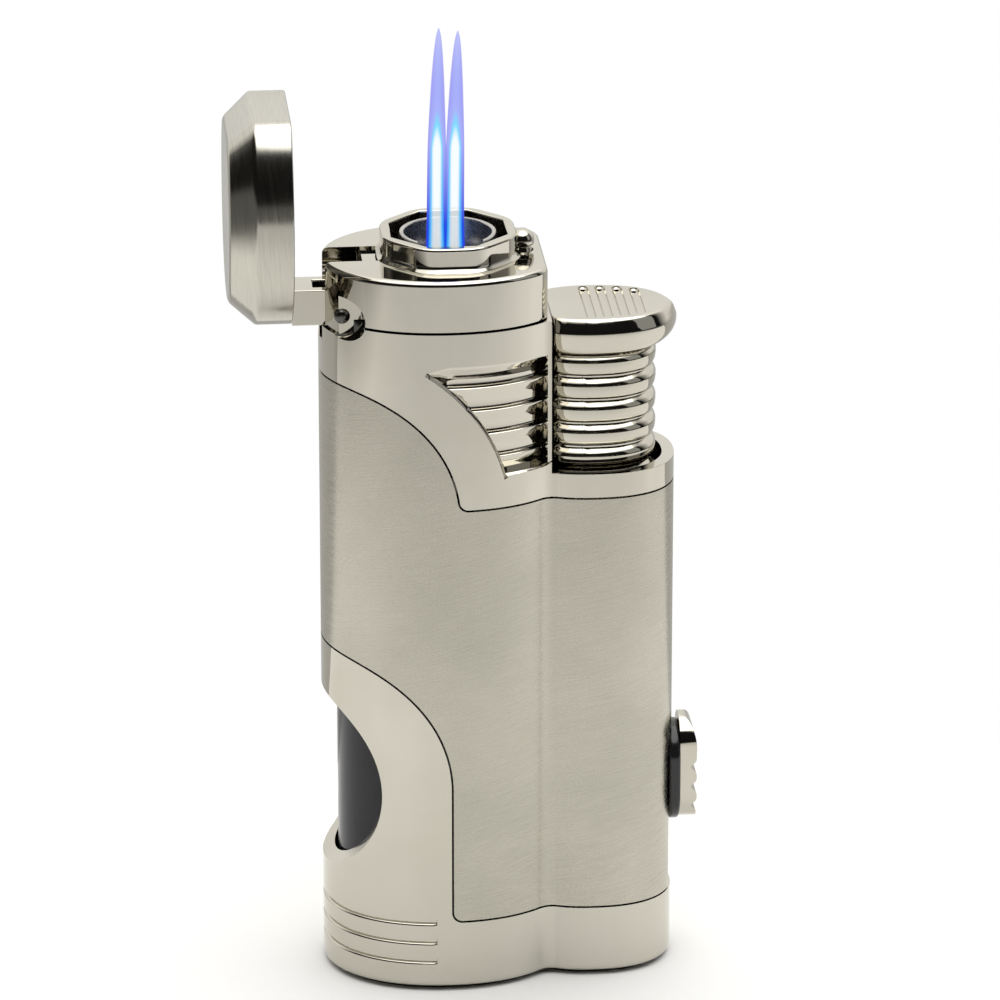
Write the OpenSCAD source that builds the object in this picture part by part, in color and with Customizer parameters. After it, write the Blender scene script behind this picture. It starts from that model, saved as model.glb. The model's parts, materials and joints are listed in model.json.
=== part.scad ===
// Twin-jet butane pocket lighter with a flip lid, a press button and a slide-out cigar punch.
// Origin: centre of the underside. X runs from the lid hinge to the button, Z is up, millimetres.

/* [Body] */
// Width of the body over both lobes
body_w = 35; // [34.5:0.1:35.5]
// Half width of the large lobe
big_a = 12.26; // [12.0:0.05:12.5]
// Half depth of the large lobe
big_b = 9.83; // [9.6:0.05:10.0]
// Squareness of the large lobe, 2 is an ellipse
big_n = 2.12; // [2.05:0.01:2.25]
// Half width of the small lobe
small_a = 8.15; // [8.0:0.05:8.3]
// Half depth of the small lobe
small_b = 7.27; // [7.2:0.05:7.5]
// Squareness of the small lobe
small_n = 2.31; // [2.2:0.01:2.4]
// Wall of the body shell
shell_wall = 1.0; // [0.8:0.1:1.0]
// Wall of the foot trim
trim_wall = 1.2; // [1.1:0.1:1.2]

/* [Heights] */
// Underside of the foot trim
foot_gap = 0.45; // [0.3:0.05:0.6]
// Top of the foot trim on the button side
foot_h = 7.4; // [7.0:0.1:8.0]
// Seam between the body shell and the upper housing
seam_z = 51; // [50.5:0.1:51.5]
// Rim of the collar round the button
collar_z = 53.6; // [53.2:0.1:54.0]
// Seam between the upper housing and the top cap
cap_z = 69.4; // [69.2:0.1:69.6]
// Top face of the cap
top_z = 74.6; // [74.4:0.1:74.8]
// Flat end of the cap, beside the button
cap_end_x = 4.7; // [4.6:0.05:4.8]

/* [Seam curves] */
// Radius of the foot trim's rise at the hinge side
rise_r = 13.6; // [13.2:0.1:14.0]
// Height of the centre of that rise
rise_z = 21.5; // [21:0.1:22]
// Right edge of the rise
rise_x = -5.3; // [-5.6:0.1:-5.0]
// Radius of the body shell's shoulder at the hinge side
shoulder_r = 12.8; // [12.4:0.1:13.0]
// Height of the centre of that shoulder
shoulder_z = 50.2; // [50.0:0.1:50.4]
// Right edge of the shoulder
shoulder_x = -4.5; // [-4.8:0.1:-4.2]
// Radius in the corners of both seams
seam_r = 1.1; // [0.8:0.1:1.4]

/* [Fuel window] */
// Radius of the round window
window_r = 10.5; // [10:0.1:11]
// Deepest point of the window
window_x = -12.1; // [-12.5:0.1:-11.8]
// Height of the window's centre
window_z = 20.7; // [20:0.1:21.5]

/* [Lid] */
// Height of the lid
lid_h = 6.25; // [6.1:0.05:6.4]
// Chamfer round the lid's outer face
lid_chamfer = 2.5; // [2.2:0.1:2.8]
// Wall of the lid
lid_wall = 0.8; // [0.7:0.05:0.9]
// Thickness of the lid's arm
arm_t = 3.6; // [3.4:0.1:3.7]
// Width of the lid's arm
arm_w = 4.3; // [4.2:0.1:4.3]
// Hinge pin: distance from the mid plane
pin_x = -15.45; // [-15.5:0.05:-15.4]
// Hinge pin: height
pin_z = 69.88; // [69.8:0.02:69.9]
// Hinge pin: radius
pin_r = 0.77; // [0.7:0.01:0.8]

/* [Chimney] */
// Centre of the chimney
chimney_x = -5.26; // [-5.4:0.02:-5.1]
// Chimney over its flats
chimney_w = 13.2; // [13:0.1:13.3]
// Inside of the chimney over its flats
chimney_in = 11.4; // [11.2:0.1:11.5]
// Rim of the chimney
chimney_z = 77; // [76.8:0.1:77.1]
// Distance between the two jets
jet_gap = 1.95; // [1.9:0.05:2.1]

/* [Button] */
// Top of the button
button_z = 69; // [68.8:0.1:69.2]
// Travel of the button
button_travel = 4.5; // [4:0.1:4.5]
// Height of one rib on the button and the vents
rib_pitch = 2.42; // [2.35:0.01:2.45]

/* [Punch] */
// Axis of the cigar punch
punch_x = 11.6; // [11.5:0.05:11.7]
// Outer radius of the punch blade
punch_r = 3.6; // [3.5:0.05:3.6]
// Travel of the punch
punch_travel = 6.5; // [6:0.1:6.5]

/* [Hidden] */
$fn = 64;

big_x = big_a - body_w / 2;
small_x = body_w / 2 - small_a;
eps = 0.02;
play = 0.05;            // radial play of a turning or sliding fit
lobe_steps = 64;        // sides of a lobe's outline
far = 200;              // larger than the object, for cutting blocks
housing_wall = 2.2;     // wall of the cast upper housing
cap_inset = 0.3;        // the cap stands back this far from the housing
cap_roof = 1.6;         // thickness of the cap's top plate
hinge_slot_x = -11.9;   // inner end of the slot that the lid's arm turns in
hinge_slot_w = 4.5;
lug_x = -13.8;          // inner end of the cap's hinge lugs
lug_z = 66.7;           // underside of the hinge lugs
pocket_r = 2.1;         // pocket at each end of the hinge pin
pocket_y = 4.8;
deck_z = 52.2;          // underside of the burner deck
deck_t = 1.6;
tank_inset = 1.55;      // gap from the tank to the skin
tank_z = 1.9;
tank_top = 40;
tank_end_x = 3.2;
tank_wall = 1.3;
plate_top = 1.8;        // top of the base plate
fill_x = -10.2;         // fill valve
dial_x = -3.4;          // flame adjuster
dial_r = 2.6;
valve_x = -3;           // gas valve on the tank lid
valve_top = 43.9;
outlet_z = 42.98;       // hose outlet on the valve
outlet_y = 2.6;
stem_r = 0.8;
lever_x = -9;           // pivot of the valve lever
lever_z = 47.4;
lever_end = 6.6;
column_inset = 1.85;    // the button's column stands back this far
column_x = 5.4;         // flat face of the button's column
column_foot = 48.2;
catch_x = 2.5;          // lid catch
catch_r = 1.05;
piezo_x = 10;           // piezo unit
piezo_w = 6;
piezo_d = 5.6;
shelf_z = 28;           // shelf over the punch
slot_w = 3;             // slot for the punch's slide
slide_z = 19.3;         // middle of the thumb slide at rest
guide_top = 3;
carrier_z = 13.4;       // underside of the punch's carrier
blade_top = 16;
neck_z = 22.6;          // neck that joins the slide to the punch
neck_h = 1.4;           // half of the neck's height
track_w = 7;            // track that the slide's plate runs in
track_x = body_w / 2 - 0.43;
plate_h = 10.4;         // plate under the thumb slide
plate_t = 1.15;
jets = [chimney_x - 0.55, chimney_x - 0.55 + jet_gap];
screw_x = 5;            // base screws
screw_y = 3.3;
wire_r = 0.45;

// ---- outlines ----

// A point of a superellipse at the angle w
function lobe_point(x, a, b, n, w) = [
    x + a * sign(cos(w)) * pow(abs(cos(w)), 2 / n),
    b * sign(sin(w)) * pow(abs(sin(w)), 2 / n)];

module lobe(x, a, b, n) {
    polygon([for (i = [0:lobe_steps - 1]) lobe_point(x, a, b, n, 360 * i / lobe_steps)]);
}

module big_lobe(t = 0) lobe(big_x, big_a - t, big_b - t, big_n);
module small_lobe(t = 0) lobe(small_x, small_a - t, small_b - t, small_n);

// Whole outline of the body, a distance t inside the skin
module outline(t = 0) {
    big_lobe(t);
    small_lobe(t);
}

// Outline of the cap and lid: the large lobe with its end cut flat
module cap_outline(t = 0) {
    intersection() {
        big_lobe(t);
        translate([cap_end_x - t - far, -far / 2]) square(far);
    }
}

module slab(z0, z1) translate([0, 0, z0]) linear_extrude(z1 - z0) children();

// A side view (X across, Z up) run through the whole depth
module through() rotate([90, 0, 0]) linear_extrude(far, center = true) children();

module rod_y(x, z, r, l) translate([x, 0, z]) rotate([90, 0, 0]) cylinder(h = l, r = r, center = true);
module rod_z(x, y, r, z0, z1) translate([x, y, z0]) cylinder(h = z1 - z0, r = r);
module tube_z(x, y, r, r_in, z0, z1) {
    difference() {
        rod_z(x, y, r, z0, z1);
        rod_z(x, y, r_in, z0 - 1, z1 + 1);
    }
}
module block(x0, x1, y, z0, z1) translate([x0, -y, z0]) cube([x1 - x0, 2 * y, z1 - z0]);

// A ring with a round section
module ring(x, y, z, r, t) translate([x, y, z]) rotate_extrude() translate([r, 0]) circle(t, $fn = 24);

// A round pipe along a route, with a slightly fuller elbow at each bend
module pipe(route, r) {
    for (i = [0:len(route) - 2]) {
        run = route[i + 1] - route[i];
        translate(route[i]) rotate([0, acos(run.z / norm(run)), atan2(run.y, run.x)])
            cylinder(h = norm(run), r = r);
    }
    for (i = [1:len(route) - 2]) translate(route[i]) sphere(r * 1.06);
}

// Fillet in a concave corner of a side view
module corner(x, z, r) {
    steps = 8;
    translate([x, z])
        polygon(concat([[-eps, -eps], [r, -eps]],
            [for (i = [0:steps]) [r - r * sin(90 * i / steps), r - r * cos(90 * i / steps)]],
            [[-eps, r]]));
}

// Side view of what lies below a seam that steps up over a round shoulder at the hinge side
module below_seam(z, x, round_z, round_r, fillet_r) {
    translate([-far / 2, -1]) square([far, z + 1]);
    translate([-far / 2, 0]) square([far / 2 + x - eps, round_z]);
    translate([x - round_r, round_z]) circle(round_r);
    corner(x - eps, z, fillet_r);
}
module foot_side() below_seam(foot_h, rise_x, rise_z, rise_r, seam_r);
module body_side() below_seam(seam_z, shoulder_x, shoulder_z, shoulder_r, seam_r);

// ---- outer shells ----

module foot_trim() {
    groove_z = [2.9, 5, 7.1];
    groove_h = 0.7;
    groove_d = 0.25;
    groove_end = -7;
    color("silver") difference() {
        intersection() {
            difference() {
                slab(foot_gap, rise_z + rise_r + 1) outline();
                slab(0, far) outline(trim_wall);
            }
            through() foot_side();
        }
        translate([window_x - window_r, 0, window_z]) rotate([90, 0, 0])
            cylinder(h = far, r = window_r, center = true);
        for (z = groove_z) difference() {
            translate([groove_end - far, -far / 2, z]) cube([far, far, groove_h]);
            slab(z - 1, z + 2) outline(groove_d);
        }
    }
}

module body_shell() {
    color("gainsboro") difference() {
        intersection() {
            slab(foot_h, shoulder_z + shoulder_r + 1) outline();
            through() body_side();
        }
        slab(0, far) outline(shell_wall);
        through() foot_side();
        // shallow track that the punch slide runs in, with the slot for its neck
        translate([track_x, -track_w / 2, 0]) cube([far, track_w, slide_z + plate_h / 2 + 0.1]);
        translate([small_x, -slot_w / 2, neck_z - neck_h - punch_travel - 0.2])
            cube([far, slot_w, punch_travel + 2 * neck_h + 0.3]);
    }
}

// Side view of the vented panel on the front and back of the upper housing
module vent_side() {
    panel_r = 17.5;
    difference() {
        translate([-9, 54.6]) square([13.5, 11]);
        translate([shoulder_x - shoulder_r, shoulder_z]) circle(panel_r);
    }
}

module upper_housing() {
    vent_d = 1;
    vent_lip = [56.6, 56.6 + rib_pitch, 56.6 + 2 * rib_pitch, 56.6 + 3 * rib_pitch];
    color("silver") difference() {
        union() {
            difference() {
                union() {
                    slab(seam_z - 3, collar_z) outline();
                    slab(seam_z - 3, cap_z) cap_outline();
                }
                difference() {
                    through() vent_side();
                    slab(0, far) outline(vent_d);
                }
            }
            for (z = vent_lip) intersection() {
                slab(z - rib_pitch / 2, z) outline(0.25);
                through() vent_side();
            }
        }
        slab(0, collar_z + 1) outline(shell_wall + 0.2);
        slab(collar_z - 3, far) big_cavity(housing_wall);
        through() body_side();
        hinge_space();
    }
}

// Inside of the upper housing and cap
module big_cavity(t) {
    intersection() {
        big_lobe(t);
        translate([cap_end_x - 1 - far, -far / 2]) square(far);
    }
}

// Space for the hinge lugs, the lid's arm and the pockets at the pin's ends
module hinge_space() {
    translate([lug_x - far, -far / 2, lug_z]) cube([far, far, far]);
    block(-far, hinge_slot_x, hinge_slot_w / 2, lug_z, far);
    pin_pockets();
}

module pin_pockets() {
    for (s = [-1, 1]) translate([pin_x, s * (pocket_y + far / 2), pin_z]) rotate([90, 0, 0])
        cylinder(h = far, r = pocket_r, center = true);
}

module top_cap() {
    color("silver") difference() {
        union() {
            slab(cap_z, top_z) cap_outline(cap_inset);
            intersection() {
                slab(lug_z, cap_z + 1) cap_outline(cap_inset);
                block(-far, lug_x - eps, far, 0, far);
            }
        }
        intersection() {
            slab(cap_z - 1, top_z - cap_roof) big_cavity(housing_wall);
            block(hinge_slot_x + 1, far, far, 0, far);
        }
        slab(cap_z, far) octagon(chimney_w + 0.02);
        block(-far, hinge_slot_x, hinge_slot_w / 2, 0, far);
        pin_pockets();
        rod_y(pin_x, pin_z, pin_r, far);
        rod_z(catch_x, 0, catch_r + play, cap_z, far);
    }
}

// ---- chimney and burner ----

module octagon(w) translate([chimney_x, 0]) rotate(22.5) circle(r = w / 2 / cos(22.5), $fn = 8);

module chimney() {
    flange_w = 15.2;
    color("silver") difference() {
        union() {
            slab(cap_z + 0.1, chimney_z) octagon(chimney_w);
            slab(cap_z + 0.1, cap_z + 1) intersection() {
                octagon(flange_w);
                cap_outline(housing_wall + 0.2);
                translate([hinge_slot_x + 1.1, -far / 2]) square(far);
            }
        }
        slab(0, far) octagon(chimney_in);
    }
}

module flame_guard() {
    guard_r = 5.3;
    guard_t = 0.4;
    mouth = 3.2;
    color("darkgray") difference() {
        tube_z(chimney_x, 0, guard_r, guard_r - guard_t, 70.6, 76);
        translate([chimney_x - mouth, -far, 0]) cube([2 * mouth, far, far]);
    }
}

module burner_head() {
    color("dimgray") difference() {
        union() {
            rod_z(chimney_x, 0, 5.45, 69, 70.6);
            rod_z(chimney_x, 0, 3.6, 64, 69 + eps);
        }
        for (x = jets) rod_z(x, 0, 0.75, 0, far);
        rod_z(chimney_x, 0, 2.2, 0, 67);
        rod_z(chimney_x, 3.1, 0.75, 0, far);
    }
}

module jet_nozzles() {
    color("goldenrod") for (x = jets) tube_z(x, 0, 0.75, 0.45, 67, 72.2);
}

module mixing_tube() {
    air_r = 0.6;
    color("goldenrod") difference() {
        tube_z(chimney_x, 0, 2.2, 1.7, deck_z + deck_t, 66);
        for (a = [0, 90]) translate([chimney_x, 0, 57]) rotate([90, 0, a])
            cylinder(h = 8, r = air_r, center = true);
    }
}

module burner_deck() {
    color("slategray") difference() {
        slab(deck_z, deck_z + deck_t) big_cavity(housing_wall);
        rod_z(chimney_x, 0, 0.8, 0, far);
        rod_z(chimney_x, 4.2, wire_r, 0, far);
    }
}

// Gas hose from the valve up to the foot of the mixing tube
module gas_hose() {
    side_y = -3.8;
    bend_z = 50.6;
    color("tan") pipe([[valve_x, -outlet_y, outlet_z], [valve_x, side_y, outlet_z],
        [valve_x, side_y, bend_z], [chimney_x, 0, bend_z], [chimney_x, 0, deck_z + deck_t]], 0.8);
}

module electrode() {
    color("lightsteelblue") {
        rod_z(chimney_x, 3.1, 0.35, 63, 73.4);
        translate([chimney_x, 3.1, 73.4]) sphere(0.35);
        translate([chimney_x, 3.1, 73.4]) rotate([90, 0, 0]) cylinder(h = 1.6, r = 0.35);
    }
}

module electrode_insulator() {
    color("white") tube_z(chimney_x, 3.1, 0.75, 0.35, 63.4, 72);
}

// Ignition wire from the piezo unit up to the electrode
module ignition_wire() {
    low_z = 42.7;
    side_x = 2.2;
    route = [[piezo_x - piezo_w / 2, 2.2, low_z], [side_x, 2.2, low_z], [side_x, 2.2, 50.9],
        [side_x, 4.2, 50.9], [chimney_x, 4.2, 50.9], [chimney_x, 4.2, 62], [chimney_x, 3.1, 62],
        [chimney_x, 3.1, 63]];
    color("firebrick") pipe(route, wire_r);
}

// ---- lid ----

// Turns a lid piece, drawn closed, into its open place
module opened() translate([pin_x, 0, pin_z]) rotate([0, -90, 0]) translate([-pin_x, 0, -pin_z]) children();

// Closed form of the lid, t inside its skin
module lid_form(t) {
    slab_t = 0.02;
    rim_gap = 0.06;
    hull() {
        slab(top_z + (t > 0 ? -1 : rim_gap), top_z + lid_h - lid_chamfer - t * 0.4) cap_outline(cap_inset + t);
        slab(top_z + lid_h - t - slab_t, top_z + lid_h - t) cap_outline(cap_inset + lid_chamfer + t * 0.6);
    }
}

module lid_shell() {
    color("gainsboro") opened() difference() {
        lid_form(0);
        lid_form(lid_wall);
        // pocket that clears the lid catch
        block(catch_x, cap_end_x - cap_inset - 0.35, catch_r + 0.25, top_z - 1, top_z + 1.7);
    }
}

module lid_liner() {
    liner_gap = 3.6;
    color("dimgray") opened() difference() {
        slab(top_z + lid_h - lid_wall - 0.5, top_z + lid_h - lid_wall) cap_outline(liner_gap);
        block(-far, pin_x + 3.8, far, 0, far);
    }
}

module lid_arm() {
    foot_x = pin_x + 3.45;
    notch_w = 2.3;
    color("silver") opened() difference() {
        union() {
            block(pin_x - arm_t / 2 + eps, pin_x + arm_t / 2 - eps, arm_w / 2, pin_z, top_z + 0.05);
            rod_y(pin_x, pin_z, arm_t / 2, arm_w);
            // foot inside the lid
            block(pin_x - 0.75, foot_x, arm_w / 2, top_z, top_z + 1.8);
            block(pin_x + 1.45, foot_x, arm_w / 2, top_z + 0.6, top_z + lid_h - lid_wall);
        }
        block(-far, far, notch_w / 2, 0, pin_z + 2.6);
        rod_y(pin_x, pin_z, pin_r + play, far);
        for (s = [-1, 1]) rod_z(pin_x + 2.6, s * 1.1, 0.45, top_z + 2.5, far);
    }
}

module arm_screws() {
    color("gray") opened() for (s = [-1, 1])
        rod_z(pin_x + 2.6, s * 1.1, 0.45, top_z + 2.5, top_z + lid_h - lid_wall);
}

module hinge_pin() {
    dome = 0.35;
    color("dimgray") {
        rod_y(pin_x, pin_z, pin_r, 2 * pocket_y);
        for (s = [-1, 1]) translate([pin_x, s * pocket_y, pin_z]) rotate([s * -90, 0, 0])
            cylinder(h = dome, r1 = pin_r, r2 = pin_r - 0.3);
    }
}

// Torsion spring round the hinge pin: a stack of turns with one leg along the arm
module lid_spring() {
    wire = 0.22;
    turn_r = 1.15;
    color("lightsteelblue") {
        for (y = [-0.88:0.44:0.88]) translate([pin_x, y, pin_z]) rotate([90, 0, 0])
            rotate_extrude() translate([turn_r, 0]) circle(wire + eps, $fn = 24);
        translate([pin_x, -0.88, pin_z + turn_r]) rotate([0, -90, 0]) cylinder(h = 2.4, r = wire);
        translate([pin_x, 0.88, pin_z - turn_r]) rotate([0, 90, 0]) cylinder(h = 1.6, r = wire);
    }
}

// Domed post that holds the lid shut and drops when the button is pressed
module lid_catch() {
    dome_z = top_z + 1.1;
    color("silver") {
        rod_z(catch_x, 0, catch_r, top_z - cap_roof - 1, dome_z);
        translate([catch_x, 0, dome_z]) rotate_extrude() intersection() {
            circle(catch_r);
            square(2 * catch_r);
        }
        // foot under the cap's roof
        block(catch_x - catch_r, cap_end_x - 1.1, catch_r, top_z - 3.4, top_z - cap_roof - 0.05);
    }
}

// ---- button and igniter ----

module button_outline(t) {
    intersection() {
        small_lobe(t);
        translate([column_x, -far / 2]) square(far);
    }
}

// The head is as long as the column's lobe and less deep
module head_outline(t) {
    head_b = 6;
    intersection() {
        lobe(small_x, small_a - t, head_b - t, small_n);
        translate([column_x, -far / 2]) square(far);
    }
}

module thumb_button() {
    neck_z = 65.8;
    head_z = 66.6;
    edge_z = 67.5;
    groove_x = [8.9, 10.55, 12.2, 13.85];
    color("silver") difference() {
        union() {
            slab(column_foot, neck_z + eps) button_outline(column_inset + 0.45);
            for (i = [0:6]) slab(neck_z - i * rib_pitch - 1.9, neck_z - i * rib_pitch) button_outline(column_inset);
            hull() {
                slab(neck_z, neck_z + 0.1) button_outline(column_inset + 0.4);
                slab(head_z, head_z + 0.1) head_outline(0.3);
            }
            hull() {
                slab(head_z, head_z + 0.1) head_outline(0.3);
                slab(edge_z, edge_z + 0.1) head_outline(-0.2);
            }
            hull() {
                slab(edge_z, edge_z + 0.1) head_outline(-0.2);
                slab(button_z - 0.1, button_z) head_outline(0.75);
            }
        }
        // hollow column that slides down round the piezo unit
        slab(column_foot - 1, 61.6) intersection() {
            small_lobe(column_inset + 1.3);
            translate([column_x + 0.9, -far / 2]) square(far);
        }
        for (x = groove_x) rod_y(x, button_z + 0.5, 0.85, 2 * small_b + 2);
    }
}

module piezo_body() {
    color("black") difference() {
        block(piezo_x - piezo_w / 2, piezo_x + piezo_w / 2, piezo_d / 2, shelf_z + 2, 49.6);
        rod_z(piezo_x, 0, 1.4, 49.6 - 7, far);
    }
}

module piezo_plunger() {
    color("gold") union() {
        rod_z(piezo_x, 0, 1.4 - play, 49.6 - 2, 61);
        rod_z(piezo_x, 0, 2.6, 60.6, 61.6);
    }
}

// Return spring between the piezo unit and the head of its plunger
module button_spring() {
    wire = 0.3;
    turns = 8;
    low = 49.6 + wire;
    high = 60.6 - wire;
    color("lightsteelblue") for (i = [0:turns])
        ring(piezo_x, 0, low + (high - low) * i / turns, 2.1, wire);
}

// Frame that parts the punch from the tank and carries the piezo unit
module inner_frame() {
    wall_x = tank_end_x + 0.3;
    wall_t = 1;
    cradle = 0.8;
    color("darkslategray") difference() {
        union() {
            intersection() {
                slab(tank_z, 42.4) outline(trim_wall + 0.1);
                union() {
                    block(wall_x, wall_x + wall_t, far, 0, far);
                    block(wall_x, far, far, shelf_z, shelf_z + 2);
                    for (s = [-1, 1]) rod_z(screw_x, s * screw_y, 1.45, 0, 9);
                }
            }
            block(piezo_x - piezo_w / 2 - cradle, piezo_x + piezo_w / 2 + cradle,
                piezo_d / 2 + cradle, shelf_z + 2 - eps, 42.4);
        }
        block(piezo_x - piezo_w / 2, piezo_x + piezo_w / 2, piezo_d / 2, shelf_z + 2, far);
        for (s = [-1, 1]) rod_z(screw_x, s * screw_y, 0.7, 0, 7.5);
        translate([0, 1.6, 42]) cube([7.4, 1.2, 3]);
    }
}

// ---- gas system ----

module fuel_tank() {
    color("dimgray", 0.6) difference() {
        slab(tank_z, tank_top) tank_outline(0);
        slab(tank_z + 1.6, far) tank_outline(tank_wall);
        rod_z(fill_x, 0, 1.9, 0, 10);
        rod_z(dial_x, 0, 1.9, 0, 10);
    }
}

module tank_outline(t) {
    intersection() {
        big_lobe(tank_inset + t);
        translate([tank_end_x - t - far, -far / 2]) square(far);
    }
}

module tank_gasket() {
    color("black") difference() {
        slab(tank_top, tank_top + 0.5) tank_outline(0.1);
        slab(0, far) tank_outline(tank_wall);
    }
}

module tank_lid() {
    color("dimgray") difference() {
        slab(tank_top + 0.5, tank_top + 2.1) tank_outline(0.1);
        rod_z(valve_x, 0, 2, 0, far);
    }
}

module gas_valve() {
    color("goldenrod") difference() {
        union() {
            rod_z(valve_x, 0, 2, tank_top - 1.4, tank_top + 2.2);
            rod_z(valve_x, 0, 2.4, tank_top + 2.1, valve_top);
            // outlet for the hose
            translate([valve_x, 0, outlet_z]) rotate([90, 0, 0]) cylinder(h = outlet_y, r = 0.85);
        }
        rod_z(valve_x, 0, stem_r + play, tank_top + 0.4, far);
        rod_z(valve_x, 0, 0.9, 0, tank_top);
    }
}

module valve_stem() {
    color("gainsboro") rod_z(valve_x, 0, stem_r, tank_top + 2.6, lever_z - 0.7);
}

module lever_bracket() {
    color("slategray") difference() {
        union() {
            block(lever_x - 1.6, lever_x + 1.6, 3.4, tank_top + 2.1, tank_top + 3.3);
            for (s = [-1, 1]) translate([lever_x - 1.3, s * 2.9 - 0.5, tank_top + 2.1])
                cube([2.6, 1, lever_z + 1.3 - tank_top - 2.1]);
        }
        rod_y(lever_x, lever_z, 0.5, far);
    }
}

module lever_pin() {
    color("gray") rod_y(lever_x, lever_z, 0.5, 6.8);
}

module valve_lever() {
    lever_t = 0.8;
    color("lightgray") difference() {
        union() {
            rod_y(lever_x, lever_z, 1, 4.6);
            block(lever_x, lever_end, 1.5, lever_z - lever_t / 2, lever_z + lever_t / 2);
        }
        rod_y(lever_x, lever_z, 0.5 + play, far);
    }
}

module riser_tube() {
    color("white") pipe([[dial_x, 0, 8], [dial_x, 0, tank_top - 5], [valve_x, 0, tank_top - 3.4],
        [valve_x, 0, tank_top - 1.4]], 0.7);
}

module regulator() {
    color("goldenrod") difference() {
        rod_z(dial_x, 0, 1.9, plate_top, 8);
        rod_z(dial_x, 0, 1 + play, 0, 5.5);
    }
}

module flame_adjuster() {
    slot = 0.9;
    color("goldenrod") difference() {
        union() {
            rod_z(dial_x, 0, dial_r, 0.35, plate_top - 0.1);
            rod_z(dial_x, 0, 1, plate_top - 0.2, 5);
        }
        translate([dial_x - 2 * dial_r, -slot / 2, 0]) cube([4 * dial_r, slot, 0.9]);
    }
}

module fill_valve() {
    color("goldenrod") difference() {
        rod_z(fill_x, 0, 1.9, 0.35, 9);
        rod_z(fill_x, 0, 1.1, 0, 2.2);
        rod_z(fill_x, 0, 0.6 + play, 0, 8);
    }
}

module fill_stem() {
    color("gainsboro") rod_z(fill_x, 0, 0.6, 2.3, 6.6);
}

module bottom_seals() {
    color("black") for (x = [fill_x, dial_x]) tube_z(x, 0, 2.7, 1.9, tank_z + 1.6, tank_z + 2.4);
}

module base_plate() {
    rim = 0.9;
    color("black") difference() {
        union() {
            slab(0, foot_gap) outline(rim);
            slab(foot_gap - eps, plate_top) outline(trim_wall + 0.05);
        }
        rod_z(fill_x, 0, 1.9, -1, far);
        rod_z(dial_x, 0, dial_r + play, -1, plate_top - 0.1);
        rod_z(dial_x, 0, 1.9, 0, far);
        rod_z(punch_x, 0, punch_r + 0.75, -1, far);
        for (s = [-1, 1]) {
            rod_z(screw_x, s * screw_y, 0.7, -1, far);
            rod_z(screw_x, s * screw_y, 1.4, -1, 0.9);
        }
    }
}

module base_screws() {
    color("gray") for (s = [-1, 1]) difference() {
        union() {
            rod_z(screw_x, s * screw_y, 1.35, 0.2, 0.9);
            rod_z(screw_x, s * screw_y, 0.7, 0.9 - eps, 7);
        }
        translate([screw_x - 2, s * screw_y - 0.2, 0]) cube([4, 0.4, 0.45]);
    }
}

// ---- cigar punch ----

module punch_guide() {
    color("goldenrod") tube_z(punch_x, 0, punch_r + 0.75, punch_r + play, 0.2, guide_top);
}

module punch_blade() {
    blade_t = 0.35;
    edge_z = 0.6;
    color("lightsteelblue") difference() {
        rod_z(punch_x, 0, punch_r, edge_z, blade_top);
        rod_z(punch_x, 0, punch_r - blade_t, 0, far);
        translate([punch_x, 0, edge_z - eps]) cylinder(h = 0.6, r1 = punch_r - 0.05, r2 = punch_r - blade_t);
    }
}

// Return spring between the guide and the carrier, round the blade
module punch_spring() {
    wire = 0.25;
    turns = 5;
    low = guide_top + wire;
    high = carrier_z - wire;
    color("lightsteelblue") for (i = [0:turns])
        ring(punch_x, 0, low + (high - low) * i / turns, punch_r + 0.35, wire);
}

module punch_carrier() {
    neck_w = slot_w - 0.3;
    color("darkslategray") difference() {
        union() {
            rod_z(punch_x, 0, punch_r + 0.7, carrier_z, 24.6);
            block(punch_x, track_x, neck_w / 2, neck_z - neck_h, neck_z + neck_h);
        }
        rod_z(punch_x, 0, punch_r, 0, blade_top);
        rod_z(punch_x, 0, punch_r - 0.5, 0, 22);
        translate([punch_x, 0, neck_z]) rotate([0, 90, 0]) cylinder(h = far, r = 0.55);
    }
}

// Oval plate that runs in the track on the narrow side
module slide_plate() {
    plate_w = 6.8;
    color("black") translate([track_x, 0, slide_z]) rotate([0, 90, 0]) difference() {
        linear_extrude(plate_t) union() {
            for (s = [-1, 1]) translate([s * (plate_h - plate_w) / 2, 0]) circle(plate_w / 2);
            square([plate_h - plate_w, plate_w], center = true);
        }
        translate([slide_z - neck_z, 0, -1]) cylinder(h = 4, r = 0.55);
    }
}

module thumb_slide() {
    slide_w = 4.6;
    slide_x = track_x + plate_t;
    low = 14.3;
    high = 25.3;
    bump_z = [15.7, 17.75, 19.8, 21.85];
    color("silver") intersection() {
        translate([0, 0, slide_z + 0.5]) rotate([0, 90, 0]) linear_extrude(body_w) union() {
            for (s = [-1, 1]) translate([s * (high - low - slide_w) / 2, 0]) circle(slide_w / 2);
            square([high - low - slide_w, slide_w], center = true);
        }
        union() {
            block(slide_x, slide_x + 1, far, low, high);
            for (z = bump_z) rod_y(slide_x + 0.75, z, 1.2, far);
            rod_y(slide_x + 0.4, 23.6, 1.3, far);
        }
        block(slide_x, far, far, 0, far);
    }
}

module slide_screw() {
    color("gray") translate([punch_x + punch_r, 0, neck_z]) rotate([0, 90, 0])
        cylinder(h = track_x + plate_t - punch_x - punch_r, r = 0.55);
}

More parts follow.
